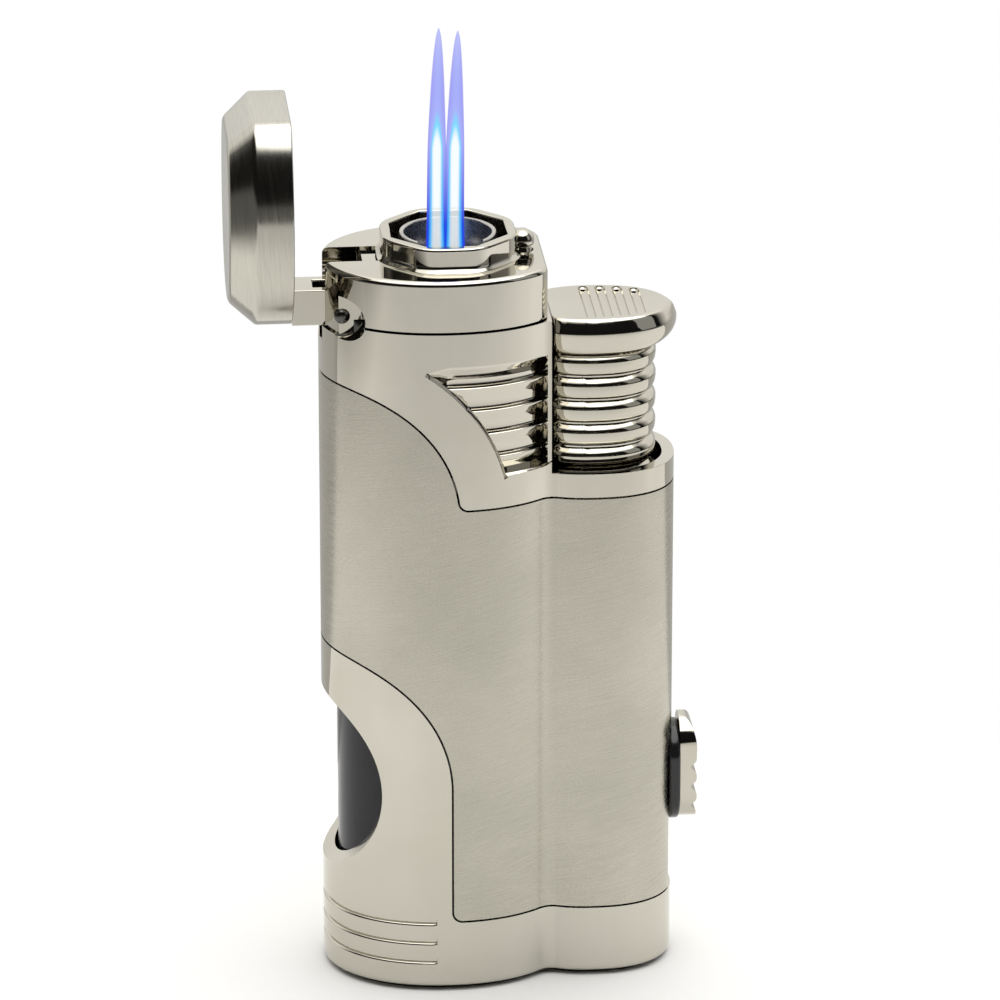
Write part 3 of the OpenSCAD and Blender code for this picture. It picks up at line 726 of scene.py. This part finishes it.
def make_cap():
    cap = tower("top_plate", cap_outline, [
        (LUG_UNDER, 0.3), (CAP_TOP - 0.55, 0.3), (CAP_TOP - 0.32, 0.35), (CAP_TOP - 0.12, 0.52),
        (CAP_TOP, 0.85)])
    inner = neck_hollow(LUG_FOOT - 1, CAP_TOP - 1.6)
    cut(inner, block("c2", (-40, -Y, 0), (-10.9, Y, 90)))
    cut(cap, inner)
    cut(cap, block("c", (LUG_END - 0.02, -Y, 0), (40, Y, CAP_SEAM + 0.08)))
    cut(cap, prism("c", octagon(CHIMNEY_X, 13.22), 0, 90))
    # the slot for the lid's arm, and a shallow step from it to the chimney
    cut(cap, block("c", (-40, -ARM_SLOT, 0), (-13.2, ARM_SLOT, 90)))
    cut(cap, block("c", (-13.3, -ARM_SLOT, CAP_TOP - 0.4), (chimney_low.x + 1, ARM_SLOT, 90)))
    hinge_pockets(cap)
    cut(cap, rod_y("c", 0.77, -8, 8, PIN.x, PIN.z, 48))
    cut(cap, rod("c", 1.12, 60, 90, CATCH_X, 0, 48))
    soften(cap, 0.09, 3, 40)
    ready_skin(cap, "polished_nickel", "top_cap")


def octagon(x, across):
    r = across / 2 / cos(pi / 8)
    return [Vector((x + r * cos(pi / 8 + pi / 4 * i), r * sin(pi / 8 + pi / 4 * i))) for i in range(8)]


def rounded_octagon(x, across, r):
    """Octagon with round corners, as a closed outline."""
    points = []
    reach = (across / 2 - r) / cos(pi / 8)
    for i in range(8):
        a = 22.5 + 45 * i
        points += arc(x + reach * cos(radians(a)), reach * sin(radians(a)), r, a - 22.5, a + 22.5, 6)
    return points


def make_chimney():
    x, z, top = CHIMNEY_X, CAP_TOP, chimney_high.z

    def outline(t):
        return rounded_octagon(x, 13.2 - 2 * t, 3.6 - 0.9 * t)
    # a foot flange on the cap, a cove above it and a soft mouth
    tube = tower("chimney_tube", outline, [
        (CAP_SEAM + 0.1, 0.0), (z - 0.04, 0.0), (z - 0.03, -0.42), (z + 0.02, -0.42), (z + 0.1, -0.36),
        (z + 0.24, -0.2), (z + 0.42, -0.07), (z + 0.62, 0.0), (top - 0.3, 0.0), (top - 0.17, 0.03),
        (top - 0.07, 0.11), (top, 0.26)])
    cut(tube, prism("c", octagon(x, 11.2), 60, 90))

    def mouth(a, b):
        return all(p.z > top - 0.01 and Vector((p.x - x, p.y)).length < 6.2 for p in (a, b))
    round_edges(tube, mouth, 0.2, 4)
    ready(tube, "body", "polished_nickel", "chimney")


# ---- burner ----

def make_burner():
    x = CHIMNEY_X
    guard = lathe("jet_guard", [
        (4.8, 70.6), (4.8, 76.5), (4.7, 76.7), (4.35, 76.7), (4.25, 76.55), (4.25, 70.6)], x, 0, 96)
    cut(guard, block("c", (x - 3.2, -Y, 60), (x + 3.2, 0, 90)))
    soften(guard, 0.08, 2, 50)
    ready(guard, "body", "burner_metal", "flame_guard", finish_name="guard_metal")
    head = lathe("burner_block", [
        (0, 64), (3.6, 64), (3.6, 69), (5.2, 69), (5.45, 69.2), (5.45, 70.35), (5.2, 70.6), (3.4, 70.6),
        (3.2, 70.75), (0, 70.75)], x, 0, 72)
    for jet in JETS:
        cut(head, rod("c", 0.75, 60, 90, jet, 0, 32))
    cut(head, rod("c", 0.75, 60, 90, x, SPARK_Y, 32))
    ready(head, "body", "burner_metal", "burner_head")
    tip = [(0.45, 67), (0.75, 67), (0.75, 71.9), (0.68, 72.1), (0.55, 72.2), (0.45, 72.1)]
    tips = [lathe("jet_tip", tip, jet, 0, 32) for jet in JETS]
    ready(join("jet_tips", *tips), "body", "brass", "jet_nozzles")
    spark = rod("spark_rod", 0.35, 63, 73.4, x, SPARK_Y, 24)
    cut(spark, rod_y("spark_tip", 0.35, 1.5, 3.2, x, 73.4, 24), "UNION")
    soften(spark, 0.12, 3, 40)
    ready(spark, "body", "spring_steel", "electrode")


# ---- hinge, lid and catch ----

def open_up(obj):
    """Turns a lid piece, modelled shut, into its open place."""
    turn(obj, "Y", -90, PIN)


def make_pin():
    dome = ((0, 0.38), (0.3, 0.36), (0.52, 0.27), (0.68, 0.12), (0.77, -0.08))
    end = [(r, PIN_HALF + height) for r, height in dome]
    profile = [(r, -h) for r, h in end] + end[::-1]
    pin = lathe("pivot_pin", profile, 0, 0, 48)
    turn(pin, "X", 90, (0, 0, 0))
    pin.data.transform(Matrix.Translation((PIN.x, 0, PIN.z)))
    ready(pin, "body", "dark_steel", "hinge_pin")


def make_lid():
    rim, top = CAP_TOP + 0.06, CAP_TOP + LID_RISE
    # the inset of the side wall, and the size of the chamfer round the top
    side, edge = 0.3, 2.5
    foot = [(rim, side + 0.12), (rim + 0.12, side)]
    low = [(top - edge + rise, side + t) for rise, t in ((-0.28, 0), (-0.14, 0.03), (0.02, 0.12), (0.2, 0.27))]
    high = [(top - drop, side + edge + t) for drop, t in ((0.25, -0.42), (0.1, -0.2), (0.02, 0.02), (0, 0.3))]
    lid = tower("flip_lid", cap_outline, foot + low + high)
    cut(lid, tower("c", cap_outline, [
        (rim - 2, 1.1), (top - edge - side, 1.1), (top - LID_WALL, side + edge + 0.45)]))
    # the notch that the catch holds
    cut(lid, block("c", (catch_low.x + 0.6, -1.3, rim - 1), (CAP_END - 0.65, 1.3, rim + 1.6)))
    soften(lid, 0.08, 2, 50)
    open_up(lid)
    ready(lid, "lid", "brushed_nickel", "lid_shell", smooth=50, finish_name="satin_nickel")


def make_liner():
    z = CAP_TOP + LID_RISE - LID_WALL
    outline = [p for p in cap_outline(3.6) if p.x > PIN.x + 3.8]
    liner = prism("lid_pad", outline, z - 0.5, z)
    soften(liner, 0.15, 3, 50)
    open_up(liner)
    ready(liner, "lid", "dark_steel", "lid_liner")


def make_arm():
    """The lid's arm, modelled shut: a round eye at the pin and a leg that steps up inside the lid."""
    x, z, eye, half = PIN.x, CAP_TOP, 1.8, 2.15
    profile = arc(x, PIN.z, eye, 180, 360, 20) + [Vector((x + along, z + up)) for along, up in (
        (eye, 0.9), (3.45, 0.9), (3.45, 5.4), (1.5, 5.4), (1.0, 1.7), (-0.75, 1.7), (-0.75, 0.02),
        (-eye, 0.02))]
    arm = side_prism("hinge_arm", profile, -half, half)
    cut(arm, block("c", (-40, -1.15, 50), (40, 1.15, PIN.z + 2.6)))
    cut(arm, rod_y("c", 0.82, -8, 8, PIN.x, PIN.z, 40))
    soften(arm, 0.1, 3, 40)
    open_up(arm)
    ready(arm, "lid", "polished_nickel", "lid_arm")


def make_catch():
    x, z = CATCH_X, CAP_TOP
    knob = lathe("catch_knob", [
        (0, z - 3.4), (0.95, z - 3.4), (0.95, z + 0.2), (0.86, z + 0.34), (0.86, z + 0.46), (1.15, z + 0.62),
        (1.2, z + 0.85), (1.18, z + 1.2), (1.08, z + 1.55), (0.86, z + 1.85), (0.5, z + 2.07),
        (0, z + 2.15)], x, 0, 48)
    foot = block("c", (x - 0.9, -1.0, z - 3.38), (3.55, 1.0, z - 1.7))
    cut(knob, foot, "UNION")
    soften(knob, 0.06, 2, 60)
    ready(knob, "catch", "polished_nickel", "lid_catch")


# ---- button ----

def make_button():
    flat_x, top = 5.1, 68.97

    def outline(t):
        return button_outline(t, flat_x)

    def head(front, end):
        """Inset that is one value at the front and back and another at the round end."""
        return lambda p: end + (front - end) * min(1.0, abs(p.y) / 7)

    def rib(z):
        return [(z + rise, inset) for rise, inset in (
            (-2.16, 2.42), (-2.02, 2.4), (-1.9, 2.12), (-1.45, 1.92), (-0.95, 1.84), (-0.58, 1.84),
            (-0.53, 1.93), (-0.48, 1.86), (-0.12, 2.02), (0, 2.2))]
    levels = [(button_low.z, 2.35)]
    for i in range(RIBS - 1, -1, -1):
        levels += rib(65.02 - RIB_PITCH * i)
    levels += [(65.18, 2.42)]
    levels += [(z, head(front, end)) for z, front, end in (
        (65.27, 2.15, 2.05), (65.4, 1.88, 1.35), (65.62, 1.7, 0.75), (65.92, 1.58, 0.3), (66.25, 1.48, 0.02),
        (66.6, 1.4, -0.13), (66.95, 1.33, -0.2), (67.3, 1.27, -0.22), (67.58, 1.25, -0.21),
        (67.75, 1.29, -0.18), (68.0, 1.42, -0.09), (68.4, 1.64, 0.06), (68.7, 1.82, 0.2), (68.83, 1.92, 0.31),
        (68.92, 2.03, 0.45), (top, 2.2, 0.7))]
    button = tower("press_button", outline, levels)
    hollow = [Vector((max(p.x, 6.3), p.y)) for p in button_outline(3.15, flat_x)]
    cut(button, prism("c", hollow, button_low.z - 1, 61.6))
    # four dimples for the thumb, each with a pit at its end
    for x in (8.9, 10.55, 12.2, 13.85):
        reach = 0.84 * lobe_point(SMALL_LOBE, 1.2, lobe_angle(SMALL_LOBE, 1.2, x)).y - 0.75
        cut(button, grip(x, -reach, reach, top + 0.22, 0.55))
        cut(button, rod("c", 0.26, 68.2, 70, x, reach, 24))
    soften(button, 0.05, 2, 55)
    ready(button, "button", "polished_nickel", "thumb_button", smooth=45)


def grip(x, y0, y1, z, r):
    """A rod with round ends that presses a pill-shaped dimple into the button's top."""
    pill = rod_y("grip", r, y0, y1, x, z, 24)
    for y in (y0, y1):
        deselect()
        bpy.ops.mesh.primitive_uv_sphere_add(segments=24, ring_count=12, radius=r, location=(x, y, z))
        settle()
        cut(pill, added("grip_end"), "UNION")
    return pill


# ---- punch slide ----

def stadium(z, height, width, steps=24):
    """Outline with round ends, as (height, depth) points round the height z."""
    half = (height - width) / 2
    return arc(z + half, 0, width / 2, -90, 90, steps) + arc(z - half, 0, width / 2, 90, 270, steps)


def stand(obj):
    """Turns a plate modelled flat, height along X, so that it stands on the button side of the body."""
    obj.data.transform(Matrix(((0, 0, 1, 0), (0, 1, 0, 0), (1, 0, 0, 0), (0, 0, 0, 1))))
    outward(obj)


def make_slide():
    z = (plate_low.z + plate_high.z) / 2
    oval = prism("slide_oval", stadium(z, 10.4, 6.8), plate_low.x, plate_high.x)
    soften(oval, 0.32, 5, 50)
    stand(oval)
    ready(oval, "punch", "black_gloss", "slide_plate")

    # the grip's side view: a soft foot, three dips in its front and an elliptical top
    back, top = slide_low.x, slide_high.z
    foot, front, toe = 14.3, back + 1.68, 0.6
    side = [Vector((back, foot))] + arc(front - toe, foot + toe, toe, -90, 0, 6)
    rise = foot + 0.7
    while rise < top - 3.3:
        dips = sum(exp(-((rise - top + drop) / 0.42) ** 2) for drop in (4.9, 7.0, 9.1))
        side.append(Vector((front - 0.6 * dips, rise)))
        rise += 0.1
    side += [Vector((front - 1.5 + 1.5 * cos(radians(a)), top - 3.0 + 3.0 * sin(radians(a))))
             for a in range(-6, 91, 4)]
    side.append(Vector((back, top)))
    thumb = side_prism("thumb_grip", side, -6, 6)
    outline = prism("c", stadium(z + 0.5, 11.0, 5.6), back - 1, back + 5)
    stand(outline)
    cut(thumb, outline, "INTERSECT")
    soften(thumb, 0.14, 3, 45)
    ready(thumb, "punch", "polished_nickel", "thumb_slide", smooth=40)


# ---- base and tank ----

def make_base():
    base = tower("base_cover", body_outline, [
        (0, 1.05), (0.12, 0.9), (foot_low.z, 0.9), (foot_low.z, 1.25), (1.8, 1.25)])
    cut(base, rod("c", 1.9, -1, 9, FILL_X))
    cut(base, rod("c", 2.65, -1, 1.7, DIAL_X))
    cut(base, rod("c", 1.9, -1, 9, DIAL_X))
    cut(base, rod("c", 4.35, -1, 9, PUNCH_X, 0, 72))
    for y in (-SCREW_Y, SCREW_Y):
        cut(base, rod("c", 0.7, -1, 9, SCREW_X, y, 24))
        cut(base, rod("c", 1.4, -1, 0.9, SCREW_X, y, 32))
    soften(base, 0.1, 3, 45)
    ready(base, "body", "black_gloss", "base_plate")

    # flame dial with a screwdriver slot
    dial = lathe("flame_wheel", [
        (0, 0.35), (2.35, 0.35), (2.6, 0.6), (2.6, 1.7), (1.0, 1.7), (1.0, 5), (0, 5)], DIAL_X, 0, 72)
    cut(dial, block("c", (DIAL_X - 9, -0.45, -1), (DIAL_X + 9, 0.45, 0.9)))
    soften(dial, 0.06, 2, 40)
    ready(dial, "dial", "brass", "flame_adjuster")
    screws = []
    for y in (-SCREW_Y, SCREW_Y):
        screw = lathe("base_screw", [
            (0, 0.2), (1.0, 0.2), (1.35, 0.5), (1.35, 0.9), (0.7, 0.9), (0.7, 7), (0, 7)], SCREW_X, y, 40)
        cut(screw, block("c", (SCREW_X - 3, y - 0.2, 0), (SCREW_X + 3, y + 0.2, 0.6)))
        soften(screw, 0.05, 2, 40)
        screws.append(screw)
    ready(join("base_screw_pair", *screws), "body", "dark_steel", "base_screws")
    valve = lathe("fill_port", [
        (0.65, 2.3), (1.1, 2.2), (1.1, 0.5), (1.3, 0.35), (1.75, 0.35), (1.9, 0.5), (1.9, 9),
        (0.65, 9)], FILL_X, 0, 48)
    ready(valve, "body", "brass", "fill_valve")


def make_tank():
    def outline(t):
        return [Vector((min(p.x, 3.2 - t), p.y)) for p in cap_outline(1.55 + t)]
    z0, z1 = tank_low.z, tank_high.z
    tank = prism("fuel_vessel", outline(0), z0, z1)
    cut(tank, prism("c", outline(1.3), z0 + 1.6, 90))
    cut(tank, rod("c", 1.9, 0, 10, FILL_X))
    cut(tank, rod("c", 1.9, 0, 10, DIAL_X))
    soften(tank, 0.25, 3, 45)
    ready(tank, "body", "smoked_tank", "fuel_tank")


# ---- springs ----

def coil(name, x, z0, z1, r, wire, turns):
    """A wound wire: a round profile along a helix, with closed end turns."""
    steps = int(turns * 28)
    closed = 0.75
    path = []
    for i in range(steps + 1):
        a = 2 * pi * turns * i / steps
        u = i / steps * turns
        open_share = min(1.0, max(0.0, (u - closed) / (turns - 2 * closed)))
        end_share = (min(u, closed) + max(0, u - turns + closed)) / (2 * closed)
        rise = open_share * (z1 - z0 - 4 * wire) + end_share * 2 * wire
        path.append((x + r * cos(a), r * sin(a), z0 + wire + rise))
    listed(name, path, [(i, i + 1) for i in range(steps)], [])
    bpy.ops.object.convert(target="CURVE")
    curve = bpy.context.object.data
    curve.bevel_depth, curve.bevel_resolution, curve.use_fill_caps = wire, 2, True
    bpy.ops.object.convert(target="MESH")
    obj = added(name)
    outward(obj)
    return obj


def make_springs():
    button_spring = coil("button_coil", 10, 49.6, 60.6, 2.1, 0.3, 8.5)
    ready(button_spring, "body", "spring_steel", "button_spring")
    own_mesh(button_spring)
    punch_spring = coil("punch_coil", PUNCH_X, 3.0, 13.4, 3.95, 0.25, 5.5)
    ready(punch_spring, "body", "spring_steel", "punch_spring")
    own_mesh(punch_spring)


# ---- flames ----

def by_place(tree, place, low, high, start, end):
    """A value that runs from start at one place to end at another, both in millimetres."""
    return remap(tree, place, low * MM, high * MM, start, end)


def calculate(tree, operation, a, b):
    math = tree.nodes.new("ShaderNodeMath")
    math.operation = operation
    tree.links.new(a, math.inputs[0])
    tree.links.new(b, math.inputs[1])
    return math.outputs["Value"]


def own_place(tree, output="Object"):
    """The X, Y and Z of a point."""
    place = tree.nodes.new("ShaderNodeTexCoord")
    split = tree.nodes.new("ShaderNodeSeparateXYZ")
    tree.links.new(place.outputs[output], split.inputs["Vector"])
    return split.outputs


def flame_finish():
    """White core with a cyan rim in a lavender mantle, deep blue at the root, thinner towards the tip."""
    material = bpy.data.materials.new("jet_flame")
    material.use_nodes = True
    tree = material.node_tree
    tree.nodes.remove(tree.nodes["Principled BSDF"])
    z = own_place(tree)["Z"]
    layer = tree.nodes.new("ShaderNodeLayerWeight")
    layer.inputs["Blend"].default_value = 0.5
    facing = layer.outputs["Facing"]
    out = calculate(tree, "ADD", facing, by_place(tree, z, 85.4, 90.2, 0.0, 0.34))
    white, cyan = (0.92, 0.98, 1.0), (0.19, 0.72, 1.0)
    lavender, violet = (0.39, 0.44, 0.96), (0.33, 0.32, 0.87)
    sky, blue, deep_blue = (0.10, 0.52, 1.0), (0.01, 0.08, 0.8), (0.06, 0.06, 0.66)
    upper = bands(tree, out, (0.10, white), (0.20, cyan), (0.32, lavender), (0.95, violet))
    root = bands(tree, out, (0.08, white), (0.2, sky), (0.42, blue), (0.95, deep_blue))
    color = blend_colors(tree, by_place(tree, z, 77.5, 86, 0.0, 1.0), root, upper)
    glow = tree.nodes.new("ShaderNodeEmission")
    glow.inputs["Strength"].default_value = 1.0
    tree.links.new(color, glow.inputs["Color"])
    edge = bands(tree, out, *((at, (level, level, level)) for at, level in (
        (0.0, 0.42), (0.12, 0.5), (0.22, 0.86), (0.8, 0.9), (1.0, 0.4))))
    density = calculate(tree, "MULTIPLY", edge, by_place(tree, z, 91.5, 97.5, 1.0, 0.55))
    clear = tree.nodes.new("ShaderNodeBsdfTransparent")
    blend = tree.nodes.new("ShaderNodeMixShader")
    tree.links.new(density, blend.inputs["Fac"])
    tree.links.new(clear.outputs["BSDF"], blend.inputs[1])
    tree.links.new(glow.outputs["Emission"], blend.inputs[2])
    tree.links.new(blend.outputs["Shader"], tree.nodes["Material Output"].inputs["Surface"])
    return material


def make_flames():
    look = flame_finish()
    root_z = 72.2
    profile = [(0.0, root_z), (0.7, 72.25), (1.1, 72.9), (1.12, 74), (0.98, 76), (0.94, 79), (0.92, 84),
               (0.87, 86.6), (0.78, 88.9), (0.68, 91.5), (0.52, 94.05), (0.36, 95.8), (0.22, 96.7),
               (0.08, 97.2), (0.0, 97.3)]
    for jet, lean, drop in ((JETS[0] - 0.08, 0.3, 0.0), (JETS[1] - 0.28, 0.4, 0.3)):
        flame = lathe("jet_flame", profile, 0, 0, 40)
        for v in flame.data.vertices:
            rise = (v.co.z - root_z) / 25
            v.co.x += jet + lean * rise ** 2
            v.co.z -= drop * rise
        modify(flame, "SUBSURF", levels=2, render_levels=2)
        flame.scale = (MM, MM, MM)
        settle()
        bpy.ops.object.shade_smooth()
        flame.data.materials.clear()
        flame.data.materials.append(look)
        flame.visible_shadow = False
        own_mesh(flame)


# ---- the object ----

make_foot_trim()
make_body_shell()
make_housing()
make_cap()
make_chimney()
make_burner()
make_pin()
make_lid()
make_liner()
make_arm()
make_catch()
make_button()
make_slide()
make_base()
make_tank()
make_springs()

slots = {part["node"]: part["material_slot"] for part in frame["record"]["subparts"]}
for node, obj in frame["nodes"].items():
    obj.data.materials.clear()
    obj.data.materials.append(FINISHES[slots[node]])

make_flames()


# ---- room, lights and camera ----

def levels_by_height(tree, height, steps):
    """Warm grey levels at heights from -1 to 1."""
    share = remap(tree, height, -1, 1, 0, 1)
    return bands(tree, share, *(((at + 1) / 2, (level, level * 0.99, level * 0.96)) for at, level in steps))


def room():
    """Plain soft studio: pale floor with painted shade towards its front and far left, bright ceiling, dark room
    behind the camera.
    """
    deselect()
    bpy.ops.mesh.primitive_plane_add(size=1, location=(0.02, -0.15, 0))
    floor = added("floor")
    floor.scale = (0.56, 0.40, 1)
    settle()
    material, tree, shader = new_finish("floor_paper", 0.0)
    paper = grain(tree, (30, 30, 30), 3)
    white = bands(tree, paper, (0.3, (0.86, 0.86, 0.855)), (0.7, (0.88, 0.88, 0.875)))
    place = own_place(tree)
    # painted shade on the floor: darker towards the front and much darker at the far left, so the metal reflects a
    # dimmer floor there
    front_shade_share = by_place(tree, place["Y"], -200, -50, 0.0, 1.0)
    left_shade_share = by_place(tree, place["X"], -255, -165, 0.0, 1.0)
    fade = bands(tree, front_shade_share, (0.0, (0.7, 0.7, 0.7)), (1.0, (1, 1, 1)))
    left = bands(tree, left_shade_share, (0.0, (0.2, 0.2, 0.19)), (1.0, (1, 1, 1)))
    tree.links.new(multiply(tree, multiply(tree, white, fade), left), shader.inputs["Base Color"])
    shader.inputs["Roughness"].default_value = 0.9
    shader.inputs["Specular IOR Level"].default_value = 0.1
    floor.data.materials.append(material)

    world = bpy.data.worlds.new("studio")
    bpy.context.scene.world = world
    world.use_nodes = True
    tree = world.node_tree
    background = tree.nodes["Background"]
    way = own_place(tree, "Generated")
    # by height: below the floor, then the room, which is dark in front and bright behind, then the ceiling
    front = levels_by_height(tree, way["Z"], (
        (-1, 0.16), (-0.04, 0.14), (0, 0.009), (0.70, 0.012), (0.80, 1.75), (1, 1.75)))
    back = levels_by_height(tree, way["Z"], (
        (-1, 0.48), (-0.05, 0.62), (0.1, 1.02), (0.5, 1.12), (0.8, 1.5), (1, 1.7)))
    studio = blend_colors(tree, remap(tree, way["Y"], 0.0, 0.4, 0.0, 1.0), front, back)
    seen = tree.nodes.new("ShaderNodeLightPath")
    plain = tree.nodes.new("ShaderNodeMix")
    plain.data_type = "RGBA"
    plain.inputs["B"].default_value = (1, 1, 1, 1)
    tree.links.new(seen.outputs["Is Camera Ray"], plain.inputs["Factor"])
    tree.links.new(studio, plain.inputs["A"])
    tree.links.new(plain.outputs["Result"], background.inputs["Color"])
    background.inputs["Strength"].default_value = 1.0


def soft_light(name, place, aim, size, watts):
    data = bpy.data.lights.new(name, "AREA")
    data.shape, data.size, data.size_y, data.energy = "RECTANGLE", size[0], size[1], watts
    light = bpy.data.objects.new(name, data)
    bpy.context.scene.collection.objects.link(light)
    light.location = place
    light.rotation_euler = (Vector(place) - Vector(aim)).to_track_quat("Z", "Y").to_euler()


def camera():
    data = bpy.data.cameras.new("camera")
    data.lens, data.sensor_width, data.clip_start, data.clip_end = 252.5, 36, 0.01, 20
    obj = bpy.data.objects.new("camera", data)
    bpy.context.scene.collection.objects.link(obj)
    place = Vector((-56.263, -646.995, 291.368)) * MM
    target = Vector((0.882, 6.180, 46.223)) * MM
    obj.location = place
    obj.rotation_euler = (target - place).to_track_quat("-Z", "Y").to_euler()
    bpy.context.scene.camera = obj


room()
soft_light("ceiling_box", (0.1, -0.1, 0.9), (0, 0, 0.04), (0.9, 0.9), 3.4)
soft_light("right_box", (0.8, -0.35, 0.5), (0, 0, 0.04), (0.5, 0.8), 0.5)
camera()
bpy.context.scene.view_settings.view_transform = "Standard"
